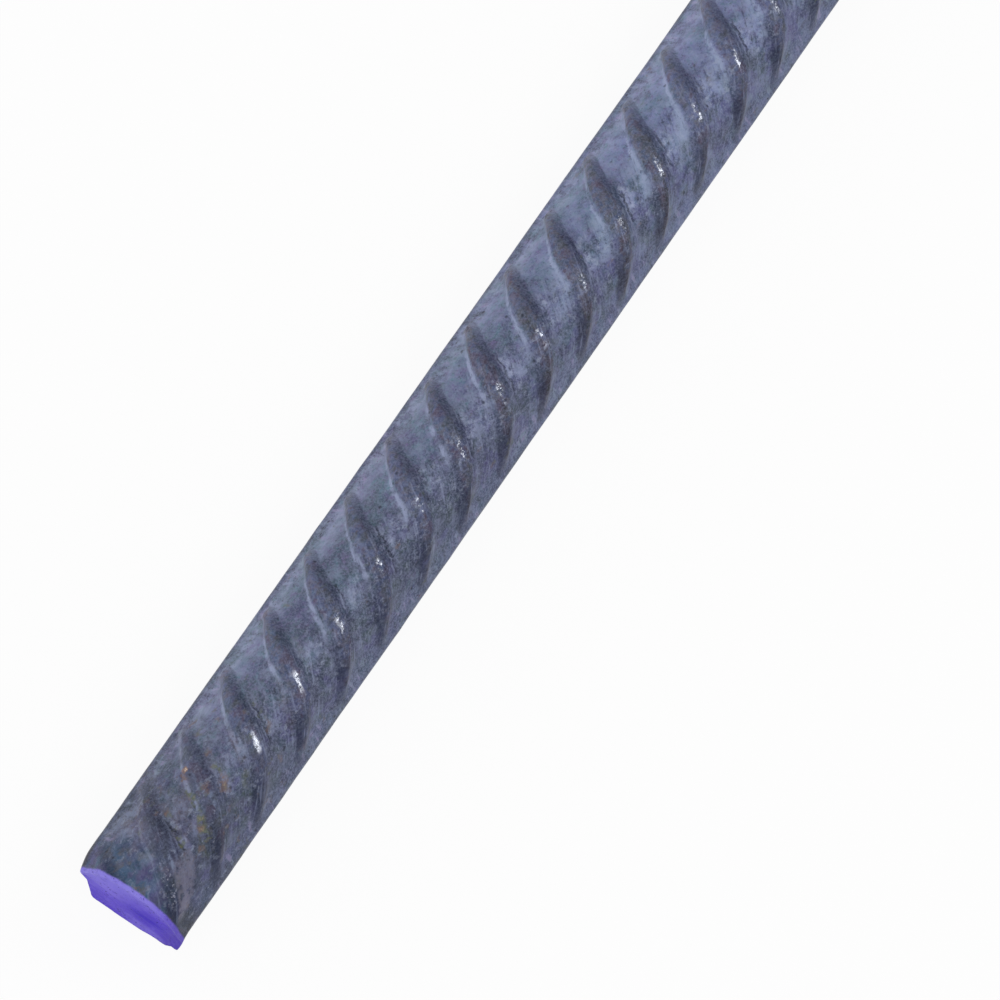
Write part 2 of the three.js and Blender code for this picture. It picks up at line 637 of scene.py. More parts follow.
    @staticmethod
    def _quads(grid: Array) -> Array:
        """Joins a grid of vertex numbers, closed round its columns, into quads.

        Args:
            grid: Vertex numbers, rows by columns.

        Returns:
            Four numbers for each quad, which face outwards on the barrel.
        """
        after = np.roll(grid, -1, axis=1)
        corners = [grid[:-1], after[:-1], after[1:], grid[1:]]
        return np.stack(corners, axis=-1).reshape(-1, 4)


@dataclass(frozen=True)
class Zone:
    """Where a mask eases up from rise to full, and down again from fall to end."""

    rise: float
    full: float
    fall: float
    end: float


@dataclass(frozen=True)
class Noise:
    """Noise whose blotches are about one size across, in millimetres.

    Its coordinates are stretched by the scale and then moved to the place.
    """

    size: float
    detail: float = 3.0
    rough: float = 0.55
    warp: float = 0.0
    place: Triple = (0.0, 0.0, 0.0)
    scale: Triple = (1.0, 1.0, 1.0)


@dataclass(frozen=True)
class Ease:
    """A share that eases from 0 where a known value is low to 1 where it is high."""

    of: str
    low: float
    high: float


@dataclass(frozen=True)
class Fade:
    """A number that follows a known value, from start where it is 0 to stop where it is 1."""

    of: str
    start: "Term"
    stop: "Term"


Term = Socket | Ease | Fade | str | float | tuple
Layer = tuple[Term, ...]


class Wiring:
    """Puts nodes in a tree and joins them, so that a pattern reads from top to bottom.

    A term is an output, the name of a known one, a plain value, or an Ease or a Fade of a
    known one. A colour is written in display bytes.
    """

    def __init__(self, tree: bpy.types.NodeTree) -> None:
        """Keeps the tree, with nothing known by name yet."""
        self.tree = tree
        self.known: dict[str, Socket] = {}

    def node(self, kind: str, **settings: object) -> bpy.types.Node:
        """Adds a node and sets its properties.

        Args:
            kind: The node's type, without the ShaderNode prefix.
            settings: Properties to set on it.

        Returns:
            The node.
        """
        made = self.tree.nodes.new("ShaderNode" + kind)
        for name, value in settings.items():
            setattr(made, name, value)
        return made

    def read(self, term: Term) -> Term:
        """Turns a term into the output or the plain value that it stands for.

        Args:
            term: Any term.

        Returns:
            An output, a number or a tuple.
        """
        if isinstance(term, str):
            return self.known[term]
        if isinstance(term, Ease):
            return self.ease(term.of, term.low, term.high)
        if isinstance(term, Fade):
            return self.blend(term.of, term.start, term.stop)
        return term

    def put(self, socket: Socket, term: Term) -> None:
        """Feeds an input from a term's output, or sets it to a plain value or a colour.

        Args:
            socket: The input.
            term: What feeds it.
        """
        value = self.read(term)
        if isinstance(value, Socket):
            self.tree.links.new(value, socket)
        elif socket.type == "RGBA":
            socket.default_value = (*srgb(value), 1.0)
        else:
            socket.default_value = value

    def math(self, operation: str, *terms: Term) -> Socket:
        """Adds a Math node.

        Args:
            operation: What it works out.
            terms: Up to three terms to work on.

        Returns:
            Its result.
        """
        made = self.node("Math", operation=operation)
        for socket, term in zip(made.inputs, terms):
            self.put(socket, term)
        return made.outputs[0]

    def times(self, *terms: Term) -> Socket:
        """Multiplies all its terms."""
        return reduce(lambda one, other: self.math("MULTIPLY", one, other), map(self.read, terms))

    def plus(self, *terms: Term) -> Socket:
        """Adds up all its terms."""
        return reduce(lambda one, other: self.math("ADD", one, other), map(self.read, terms))

    def around(self, noise: Term, width: float) -> Socket:
        """Spreads a noise evenly about 0, over a width."""
        return self.math("MULTIPLY_ADD", noise, width, -0.5 * width)

    def ease(self, value: Term, low: float, high: float) -> Socket:
        """Turns a value into a share that eases from 0 to 1, downwards if low is over high.

        Args:
            value: What to turn.
            low: Where the share is 0.
            high: Where it is 1.

        Returns:
            The share.
        """
        made = self.node("MapRange", interpolation_type="SMOOTHSTEP")
        self.put(made.inputs["Value"], value)
        self.put(made.inputs["From Min"], low)
        self.put(made.inputs["From Max"], high)
        return made.outputs["Result"]

    def window(self, value: Term, zone: Zone) -> Socket:
        """Turns a value into a mask that is 1 in the middle of a zone and 0 outside it."""
        up = self.ease(value, zone.rise, zone.full)
        return self.times(up, self.ease(value, zone.end, zone.fall))

    def mix(self, share: Term, first: Term, second: Term) -> Socket:
        """Mixes two colours.

        Args:
            share: How far to go from the first to the second.
            first: The colour at 0.
            second: The colour at 1.

        Returns:
            The mixed colour.
        """
        made = self.node("Mix", data_type="RGBA", clamp_factor=True)
        for number, term in ((0, share), (6, first), (7, second)):
            self.put(made.inputs[number], term)
        return made.outputs[2]

    def blend(self, share: Term, first: Term, second: Term) -> Socket:
        """Mixes two plain values.

        Args:
            share: How far to go from the first to the second.
            first: The value at 0.
            second: The value at 1.

        Returns:
            The mixed value.
        """
        made = self.node("Mix", data_type="FLOAT", clamp_factor=True)
        for number, term in ((0, share), (2, first), (3, second)):
            self.put(made.inputs[number], term)
        return made.outputs[0]

    def coats(self, colour: Term, layers: tuple[Layer, ...]) -> Socket:
        """Lays colours over each other in order.

        Args:
            colour: What is underneath.
            layers: Each layer's colour, the most that it covers, and its masks, which are
                multiplied.

        Returns:
            The colour with all its layers.
        """
        for over, share, *masks in layers:
            colour = self.mix(self.times(*masks, share), colour, over)
        return colour

    def split(self, vector: Term) -> bpy.types.NodeOutputs:
        """Splits a vector.

        Args:
            vector: The vector.

        Returns:
            Its X, Y and Z by name.
        """
        made = self.node("SeparateXYZ")
        self.put(made.inputs[0], vector)
        return made.outputs

    def join(self, x: Term, y: Term) -> Socket:
        """Joins two values into a vector with no Z.

        Args:
            x: The vector's X.
            y: The vector's Y.

        Returns:
            The vector.
        """
        made = self.node("CombineXYZ")
        self.put(made.inputs["X"], x)
        self.put(made.inputs["Y"], y)
        return made.outputs[0]

    def shifted(self, vector: Term, place: Triple, scale: Triple) -> Socket:
        """Stretches and then moves a pattern's coordinates with a Mapping node.

        Args:
            vector: The coordinates.
            place: How far to move them.
            scale: How much to stretch them.

        Returns:
            The new coordinates.
        """
        made = self.node("Mapping")
        for name, term in (("Vector", vector), ("Location", place), ("Scale", scale)):
            self.put(made.inputs[name], term)
        return made.outputs[0]

    def noise(self, vector: Term, noise: Noise) -> Socket:
        """Adds a noise texture.

        Args:
            vector: The coordinates.
            noise: Its size and character.

        Returns:
            Its value, of 0 to 1.
        """
        if noise.place != Noise.place or noise.scale != Noise.scale:
            vector = self.shifted(vector, noise.place, noise.scale)
        made = self.node("TexNoise")
        self.put(made.inputs["Vector"], vector)
        self.put(made.inputs["Scale"], 1.0 / (noise.size * MM))
        self.put(made.inputs["Detail"], noise.detail)
        self.put(made.inputs["Roughness"], noise.rough)
        self.put(made.inputs["Distortion"], noise.warp)
        return made.outputs["Fac"]

    def cells(self, vector: Term, size: float) -> Socket:
        """Adds a texture of cells.

        Args:
            vector: The coordinates.
            size: About how far each cell is across, in metres.

        Returns:
            The distance from the middle of the nearest cell, as a share of the size.
        """
        made = self.node("TexVoronoi")
        self.put(made.inputs["Vector"], vector)
        self.put(made.inputs["Scale"], 1.0 / size)
        return made.outputs["Distance"]


class Pattern:
    """A shader node group with named inputs and outputs, built once and used by finishes.

    Inside it, its inputs and noises are known by name.
    """

    name = "pattern"
    inputs: tuple[str, ...] = ()
    outputs: tuple[str, ...] = ()
    noises: dict[str, Noise] = {}

    def tree(self) -> bpy.types.NodeTree:
        """Gives the group, building it the first time.

        Returns:
            The node tree.
        """
        found = bpy.data.node_groups.get(self.name)
        if found:
            return found
        tree = bpy.data.node_groups.new(self.name, "ShaderNodeTree")
        for way, labels in (("INPUT", self.inputs), ("OUTPUT", self.outputs)):
            for label in labels:
                kind = label if label in ("Vector", "Color") else "Float"
                tree.interface.new_socket(label, in_out=way, socket_type="NodeSocket" + kind)
        w = Wiring(tree)
        given = tree.nodes.new("NodeGroupInput").outputs
        w.known = {label: given[label] for label in self.inputs}
        for label, noise in self.noises.items():
            w.known[label] = w.noise("Vector", noise)
        result = tree.nodes.new("NodeGroupOutput").inputs
        for label, term in self.draw(w).items():
            w.put(result[label], term)
        return tree

    def draw(self, w: Wiring) -> dict[str, Term]:
        """Draws the pattern inside the group.

        Args:
            w: Places nodes in the group, and knows its inputs and noises.

        Returns:
            What feeds each named output.
        """
        raise NotImplementedError

    def use(self, w: Wiring, **terms: Term) -> dict[str, Socket]:
        """Places the group in a material.

        Args:
            w: Places nodes in the material.
            terms: What feeds each input, with _ for each space in its name.

        Returns:
            The group's outputs by name.
        """
        made = w.node("Group", node_tree=self.tree())
        for label, term in terms.items():
            w.put(made.inputs[label.replace("_", " ")], term)
        return {label: made.outputs[label] for label in self.outputs}


class RibPlace(Pattern):
    """Masks by where a point is on its rib.

    The place across the rib is -1 and 1 on its crest's edges and -2 and 2 at its feet; the
    place round the row is in degrees. A spot has a zone of each, and a band one of degrees.
    """

    name = "rib place"
    inputs = ("X", "Sine", "Cosine", "Row Angle", "Relief")
    spots: dict[str, tuple[Zone, Zone]] = {
        "Foot Line": (Zone(1.92, 2.02, 2.12, 2.28), Zone(-22, -10, 14, 32)),
        "Bright Foot": (Zone(-2.25, -1.95, -1.65, -1.25), Zone(-64, -40, -2, 14)),
        "Pale Hollow": (Zone(-3.2, -2.5, -1.8, -1.3), Zone(-30, -14, 14, 28)),
        "Tail": (Zone(-2.3, -1.7, 0.0, 1.8), Zone(25, 45, 68, 88)),
        "Pale Tail": (Zone(1.3, 1.9, 2.3, 3.0), Zone(16, 30, 46, 62)),
        "Worn Spot": (Zone(-0.12, 0.14, 0.44, 0.72), Zone(-1, 5, 14, 21)),
        "Stained Foot": (Zone(-2.7, -2.2, -1.7, -1.1), Zone(-46, -32, 28, 44)),
        "Stained Heel": (Zone(1.8, 2.05, 2.4, 2.9), Zone(-30, -20, 10, 22)),
        "Low Crackle": (Zone(-1.9, -1.4, -0.6, 0.0), Zone(8, 14, 32, 48)),
        "Dusty Foot": (Zone(-0.4, 0.4, 2.2, 3.0), Zone(8, 24, 52, 66)),
        "Crackle": (Zone(1.90, 2.10, 2.60, 2.98), Zone(-18, -8, 8, 20)),
        "Lit Edge": (Zone(1.62, 1.76, 1.82, 1.94), Zone(-26, -12, 16, 32)),
    }
    bands: dict[str, Zone] = {
        "Band": Zone(-22, 0, 36, 58),
        "Sheen": Zone(-86, -64, -56, -34),
        "Shade": Zone(4, 24, 58, 82),
        "Low Side": Zone(48, 68, 98, 104),
    }
    outputs = (
        "Crest", "Flank", "Broad Flank", "Soiled End", "Side", *spots, *bands,
        "Light Streak", "Dark Streak",
    )
    arc: float = 0.11 * MM
    fray: Noise = Noise(1.1, 4.0, 0.65)
    fray_width: float = 1.1
    on_crest: Ease = Ease("off", 1.35, 0.85)
    raised: Ease = Ease("Relief", 0.08, 0.45)
    flank: Zone = Zone(0.7, 1.3, 1.7, 2.1)
    flank_raised: Ease = Ease("Relief", 0.0, 0.2)
    broad_flank: Zone = Zone(-0.5, 0.4, 1.8, 2.6)
    left: Ease = Ease("place", 0.1, -0.1)
    low_end: Ease = Ease("degrees", 4.0, 26.0)
    low_end_across: Ease = Ease("place", 1.0, 0.2)
    high_end: Ease = Ease("degrees", -40.0, -62.0)
    high_end_share: float = 0.9
    mid_crest: Ease = Ease("off", 1.0, 0.5)
    left_side: Ease = Ease("degrees", -52.0, -68.0)
    right_side: Ease = Ease("degrees", 52.0, 68.0)
    streak: Noise = Noise(0.55, 4.0, 0.6, 0.3)
    streak_lean: float = 0.086 * MM
    streak_along: float = 0.018 * MM
    streaked: Zone = Zone(-34, -6, 56, 76)
    light_streak: Ease = Ease("streak", 0.54, 0.68)
    dark_streak: Ease = Ease("streak", 0.46, 0.32)

    def draw(self, w: Wiring) -> dict[str, Term]:
        """Draws it.

        A flank gets painted shade to the right of a crest, but to its left towards the low end.

        Args:
            w: Places nodes in the group, and knows its inputs.

        Returns:
            Masks of the crest, the flank's painted shade, the crest's two ends where soil
            gathers, the listed spots and bands, and streaks that lean as the ribs do.
        """
        w.known["degrees"] = w.times("Row Angle", 90.0)
        phase = w.math("ARCTAN2", "Sine", "Cosine")
        fray = w.noise(w.join("X", w.times("degrees", self.arc)), self.fray)
        place = w.plus(w.times(phase, FULL_PLACE / np.pi), w.around(fray, self.fray_width))
        w.known["place"] = place
        w.known["off"] = w.math("ABSOLUTE", place)
        lean = w.plus("X", w.times("degrees", self.streak_lean))
        run = w.join(lean, w.times("degrees", self.streak_along))
        w.known["streak"] = w.noise(run, self.streak)
        lit_side = w.math("ABSOLUTE", w.math("SUBTRACT", self.left, self.low_end))
        shaded = w.math("SUBTRACT", 1.0, lit_side)
        crest = w.times(self.on_crest, self.raised)
        low = w.times(self.low_end, self.low_end_across)
        ends = w.math("MAXIMUM", low, w.times(self.high_end, self.high_end_share))
        here = w.window("degrees", self.streaked)
        made = {
            "Crest": crest,
            "Flank": w.times(w.window("off", self.flank), shaded, self.flank_raised),
            "Broad Flank": w.times(w.window("off", self.broad_flank), shaded),
            "Soiled End": w.times(ends, crest, self.mid_crest),
            "Side": w.math("MAXIMUM", self.right_side, self.left_side),
            "Light Streak": w.times(self.light_streak, here),
            "Dark Streak": w.times(self.dark_streak, here),
        }
        for label, (across, round_row) in self.spots.items():
            made[label] = w.times(w.window("place", across), w.window("degrees", round_row))
        for label, round_row in self.bands.items():
            made[label] = w.window("degrees", round_row)
        return made


class ScaleColour(Pattern):
    """Blue-grey mill scale: cloudy tone, soiled ribs, a cracked band and small pits.

    A value is a product of terms, a tone a mask and the two colours that it mixes, and a
    layer a colour, the most that it covers, and its masks. They are worked out in order.
    """

    name = "mill scale"
    inputs = (
        "Vector", "Seam", "Handled", "Near Paint", "Burnished",
        *(label for label in RibPlace.outputs if not label.startswith("Stained")),
    )
    outputs = ("Color", "Roughness", "Metal", "Height")
    noises = {
        "cloud": Noise(5.0, 5.0, 0.65, 0.4, scale=(0.4, 1.0, 1.0)),
        "patch": Noise(1.8, 5.0, 0.66, place=(0.3, 0.1, 0.2)),
        "grain": Noise(0.26, 3.0, 0.7),
        "crumb": Noise(0.7, 5.0, 0.75, place=(0.5, 0.9, 0.1), scale=(0.7, 1.0, 1.0)),
        "hue": Noise(1.2, 4.0, 0.7, place=(0.8, 0.4, 0.6)),
        "each": Noise(7.0, 1.0, place=(0.9, 0.3, 0.5), scale=(1.0, 0.3, 0.3)),
        "pool": Noise(3.4, 3.0, 0.6, place=(0.6, 0.2, 0.9)),
        "blot": Noise(0.8, 4.0, 0.7, place=(0.1, 0.5, 0.7)),
        "tinge": Noise(0.42, 3.0, 0.6, place=(0.6, 0.8, 0.3)),
        "dust": Noise(4.2, 3.0, 0.6, place=(0.7, 0.6, 0.1)),
        "broad": Noise(2.6, place=(0.2, 0.1, 0.8), scale=(0.8, 1.0, 1.0)),
        "tint": Noise(2.2, 3.0, 0.6, place=(0.3, 0.8, 0.1)),
        "stain": Noise(1.5, 2.0, place=(0.4, 0.2, 0.6), scale=(0.7, 1.0, 1.0)),
        "ring": Noise(0.9, 3.0, 0.6, place=(0.7, 0.1, 0.5), scale=(1.0, 0.3, 0.3)),
        "fleck": Noise(0.34, 2.0, 0.6, place=(0.2, 0.7, 0.9)),
    }
    drift_length: float = 160 * MM
    drift_start: float = 2.62
    soiled_length: float = 140 * MM
    soiled_start: float = 4.97
    soiled_uneven: float = 3.0
    soiled_zone: tuple[float, float] = (1.2, 2.7)
    dirt_uneven: float = 3.0
    handled_rough: float = 0.8
    pit_cells: float = 2.4 * MM
    rub_start: float = 0.03
    rub_burnished: float = 0.08
    values: dict[str, tuple[Term, ...]] = {
        "vivid": (Fade("Handled", Fade("Band", 0.64, 0.38), 0.76),),
        "uneven": (Fade("Side", Fade("rough", 0.34, 0.56), 0.66),),
        "calm": (Fade("Near Paint", 1.0, 0.45),),
        "broken": ("rough", "calm", Fade("Tail", 1.0, 0.45)),
        "still": ("calm", Fade("Tail", 1.0, 0.40), Fade("Crest", 1.0, 0.75)),
        "tinted": (Fade("Shade", 0.20, 0.50),),
        "outer": (Ease("Side", 0.3, 1.0),),
        "closest": (Ease("Handled", 0.86, 0.99),),
        "dirt": (Ease("piled", 0.55, 1.25), Ease("Soiled End", 0.25, 0.75)),
        "foot": ("Foot Line", Ease("patch", 0.36, 0.50), Ease("each", 0.40, 0.58)),
        "speck": (Ease("grain", 0.40, 0.62), "still"),
        "hole": (Ease("pit", 0.12, 0.03), Ease("cloud", 0.40, 0.52)),
        "rubbed": (
            "Worn Spot", Ease("rub", 0.52, 0.58), Ease("Handled", 0.70, 0.40),
            Fade("Burnished", Ease("grain", 0.42, 0.52), 1.0),
        ),
    }
    tones: dict[str, tuple[Term, Term, Term]] = {
        "ground": (Ease("cloud", 0.32, 0.68), (76, 82, 105), (105, 112, 139)),
        "grey": (Ease("patch", 0.38, 0.62), (60, 65, 83), (101, 103, 122)),
        "pale": ("Handled", (150, 158, 188), (124, 133, 162)),
        "teal damp": (Ease("broad", 0.42, 0.50), (79, 76, 124), (55, 89, 120)),
        "damp": (Ease("broad", 0.54, 0.60), "teal damp", (84, 90, 96)),
        "light rim": (Ease("tint", 0.46, 0.54), (142, 158, 176), (166, 156, 196)),
        "dark rim": (Ease("tint", 0.46, 0.54), (50, 60, 66), (54, 48, 76)),
        "blue crest": (Ease("blot", 0.46, 0.58), (82, 90, 124), (94, 90, 108)),
        "brown crest": (Ease("blot", 0.44, 0.54), (70, 77, 104), (88, 79, 84)),
        "far crest": ("soiled", "blue crest", "brown crest"),
        "crest": ("Handled", "far crest", (80, 84, 106)),
        # painted shade colours for the flanks turned away from the light
        "flank": ("Handled", (56, 60, 88), (46, 50, 71)),
        "tail": ("soiled", (42, 48, 72), (50, 50, 64)),
        "soil": (Ease("hue", 0.42, 0.58), (60, 54, 64), (56, 62, 64)),
        "dusty soil": (Ease("grain", 0.40, 0.66), "soil", (80, 82, 100)),
    }
    layers: tuple[Layer, ...] = (
        ((146, 157, 207), 0.52, "drift"),
        # painted sheen: the valleys high on the lit side are lighter
        ((148, 156, 190), 0.43, "Sheen"),
        ((94, 124, 136), 0.46, Ease("pool", 0.48, 0.62)),
        ((98, 132, 148), 1.0, Ease("hue", 0.53, 0.66), "vivid"),
        ((116, 102, 146), 1.0, Ease("hue", 0.47, 0.34), "vivid"),
        ((88, 102, 92), 1.0, Ease("blot", 0.54, 0.66), Fade("rough", 0.2, 0.45)),
        ((88, 120, 116), 0.38, Ease("tinge", 0.53, 0.64), "vivid"),
        ((120, 97, 128), 0.30, Ease("tinge", 0.47, 0.36), "vivid"),
        ("grey", 0.80, "Handled"),
        ((112, 103, 116), 0.50, "Handled", Ease("dust", 0.48, 0.60)),
        ("pale", 1.0, Ease("patch", 0.50, 0.62), "uneven"),
        ((60, 66, 86), 1.0, Ease("patch", 0.50, 0.37), "uneven"),
        ("damp", 0.85, "Near Paint", Ease("patch", 0.20, 0.42)),
        ((68, 73, 94), 0.50, "Shade", Fade("drift", 1.0, 0.6)),
        ((86, 80, 132), 1.0, "tinted", Ease("tint", 0.52, 0.62)),
        ((72, 88, 84), 1.0, "tinted", Ease("tint", 0.47, 0.37)),
        # painted shade: the low side, turned away from the light, is darker
        ((66, 77, 111), 0.50, "Low Side"),
        ((56, 63, 78), 0.45, "Shade", Ease("stain", 0.52, 0.62)),
        ("light rim", 0.45, "outer", Ease("ring", 0.54, 0.66)),
        ("dark rim", 0.52, "outer", Ease("ring", 0.47, 0.35)),
        ((54, 54, 56), 0.75, "Low Side", Ease("Near Paint", 0.2, 0.9)),
        ("crest", 0.66, "Crest"),
        ((72, 78, 76), 0.50, "Crest", Ease("stain", 0.46, 0.38)),
        ((88, 70, 88), 0.50, "Crest", Ease("stain", 0.55, 0.62)),
        # painted shade on the flanks turned away from the light, broader near the marked end
        ("flank", 0.52, "Flank"),
        ("flank", 0.52, "Broad Flank", Ease("patch", 0.26, 0.46), "Handled"),
        ((140, 154, 182), 0.62, "Worn Spot", Ease("patch", 0.40, 0.54), "Handled"),
        ("tail", 0.74, "Tail", Ease("patch", 0.28, 0.58)),
        # painted highlight along the foot of each rib's lit flank
        (
            (162, 171, 202), 0.72, "Bright Foot", Ease("patch", 0.32, 0.56),
            Fade("Handled", 1.0, 0.35),
        ),
        (
            (148, 164, 190), 0.55, "Pale Hollow", Ease("patch", 0.40, 0.56),
            Ease("drift", 0.2, 0.8),
        ),
        # painted reflection: a faint light band on the right feet of the ribs' lower ends
        ((140, 140, 172), 0.14, "Pale Tail"),
        ("pale", 0.42, "Light Streak"),
        ((52, 56, 76), 0.48, "Dark Streak"),
        ((158, 166, 188), 0.85, Ease("crumb", 0.54, 0.66), Fade("broken", 0.12, 0.64)),
        (
            (164, 172, 198), 1.0, "Crackle", Ease("crumb", 0.46, 0.56),
            Fade("soiled", 0.25, 0.70),
        ),
        (
            (46, 50, 60), 1.0, Ease("crumb", 0.46, 0.34), Fade("broken", 0.14, 0.52),
            Fade("drift", 1.0, 0.6),
        ),
        (
            "dusty soil", 1.0, "dirt",
            Fade("Tail", Fade("soiled", 0.30, 0.66), Fade("soiled", 0.30, 0.72)),
        ),
        (
            (146, 152, 178), 0.50, "Lit Edge", Ease("patch", 0.42, 0.56),
            Fade("Handled", 1.0, 0.3),
        ),
        ((36, 39, 54), 0.75, "foot"),
        ((125, 122, 139), 0.70, "Dusty Foot", Ease("crumb", 0.34, 0.52), "closest"),
        (
            (184, 186, 204), 0.60, "Low Crackle", Ease("tinge", 0.54, 0.60),
            Ease("crumb", 0.42, 0.52), "closest",
        ),
        ((62, 64, 68), 0.62, Ease("Seam", 0.55, 1.05), Ease("pool", 0.36, 0.62)),
        ("pale", 1.0, "speck", Fade("Side", 0.32, 0.42)),
        ((48, 51, 64), 1.0, Ease("fleck", 0.60, 0.72), "still", Fade("Side", 0.42, 0.60)),
        ((42, 44, 54), 0.7, "hole"),
        ((214, 219, 232), 0.85, "rubbed"),
    )
    plain_roughness: Fade = Fade("Band", Fade("speck", 0.40, 0.50), 0.50)
    roughness: Fade = Fade(
        "rubbed", Fade("dirt", plain_roughness, 0.62), Fade("Burnished", 0.16, 0.20)
    )
    metal: Fade = Fade("dirt", 0.85, 0.5)
    crumbling: Fade = Fade("rubbed", Fade("broken", 0.5, 1.7), Fade("Burnished", 0.8, 0.35))
    grain_height: float = 0.6
    sunk: float = -0.8

    def wave(self, w: Wiring, length: float, start: float) -> Socket:
        """Gives a slow wave along the bar, the sine of 2 pi x / length + start."""
        turns = w.times(w.split("Vector")["X"], 2.0 * np.pi / length)
        return w.math("SINE", w.plus(turns, start))

    def draw(self, w: Wiring) -> dict[str, Term]:
        """Draws it.

        Drift makes the scale lighter and soiled the crests browner, each by a slow wave.

        Args:
            w: Places nodes in the group, and knows its inputs and noises.

        Returns:
            Colour, roughness, metal share and height.
        """
        known = w.known
        drift = w.plus(self.wave(w, self.drift_length, self.drift_start), w.around("cloud", 1.0))
        known["drift"] = w.ease(drift, -1.0, 1.0)
        soiled = self.wave(w, self.soiled_length, self.soiled_start)
        soiled = w.plus(soiled, w.times("each", self.soiled_uneven))
        known["soiled"] = w.ease(soiled, *self.soiled_zone)
        known["rough"] = w.math("MAXIMUM", "Band", w.times("Handled", self.handled_rough))
        known["piled"] = w.plus("Soiled End", w.around("patch", self.dirt_uneven))
        known["pit"] = w.cells("Vector", self.pit_cells)
        worn = w.math("MULTIPLY_ADD", "Burnished", self.rub_burnished, self.rub_start)
        known["rub"] = w.plus("crumb", worn)
        for name, terms in self.values.items():
            known[name] = w.times(*terms)
        for name, tone in self.tones.items():
            known[name] = w.mix(*tone)
        height = w.plus(
            w.times("grain", self.grain_height), "patch", w.times("crumb", self.crumbling),
            w.times("hole", self.sunk), w.times("foot", self.sunk),
        )
        return {
            "Color": w.coats("ground", self.layers),
            "Roughness": self.roughness,
            "Metal": self.metal,
            "Height": height,
        }


class RustSpecks(Pattern):
    """Small orange and olive specks that sit where a share of handling is high."""

    name = "rust specks"
    inputs = ("Vector", "Amount", "Foot")
    outputs = ("Color", "Mask", "Ragged")
    noises = {
        "where": Noise(1.2, 4.0, 0.65, place=(0.7, 0.2, 0.4), scale=(0.8, 1.0, 1.0)),
        "area": Noise(3.4, 2.0, 0.6, place=(1.1, 1.1, 0.6), scale=(0.8, 1.0, 1.0)),
        "tint": Noise(2.2, 1.0, place=(0.8, 0.8, 0.7), scale=(0.8, 1.0, 1.0)),
    }
    olive: Shown = (98, 106, 74)
    brown: Shown = (124, 98, 84)
    ochre: Shown = (168, 150, 112)
    area_share: float = 0.6
    amount_share: float = 0.09
    most: float = 0.5
    most_at_foot: float = 0.70

    def draw(self, w: Wiring) -> dict[str, Term]:
        """Draws it.

        Args:
            w: Places nodes in the group, and knows its inputs and noises.

        Returns:
            The specks' colour, where they are, and the noise that frays their edges.
        """
        area = w.around("area", self.area_share)
        w.known["lift"] = w.plus("where", area, w.times("Amount", self.amount_share))
        foot = w.times("Foot", "Amount", Ease("where", 0.44, 0.58))
        free = w.times(Ease("lift", 0.66, 0.84), self.most)
        colour = w.mix(Ease("tint", 0.47, 0.57), self.olive, self.brown)
        colour = w.mix(w.times(foot, Ease("where", 0.58, 0.70)), colour, self.ochre)
        mask = w.math("MAXIMUM", free, w.times(foot, self.most_at_foot))
        return {"Color": colour, "Mask": mask, "Ragged": "where"}


@dataclass(frozen=True)
class Oval:
    """An oval on the marked face: its middle and half widths in Y and Z, in millimetres."""

    middle: tuple[float, float]
    half: tuple[float, float]
    fray: float = 0.8
    edge: tuple[float, float] = (1.6, 0.6)

    def mask(self, w: Wiring, noise: Term) -> Socket:
        """Draws the oval with a ragged edge.

        Args:
            w: Places nodes in the group.
            noise: The noise that frays the edge.

        Returns:
            A mask that is 1 inside the oval.
        """
        scale = (0.0, *(1.0 / (half * MM) for half in self.half))
        place = (0.0, *(-middle / half for middle, half in zip(self.middle, self.half)))
        off = w.node("VectorMath", operation="LENGTH")
        w.put(off.inputs[0], w.shifted("Vector", place, scale))
        return w.ease(w.plus(off.outputs["Value"], w.times(noise, self.fray)), *self.edge)


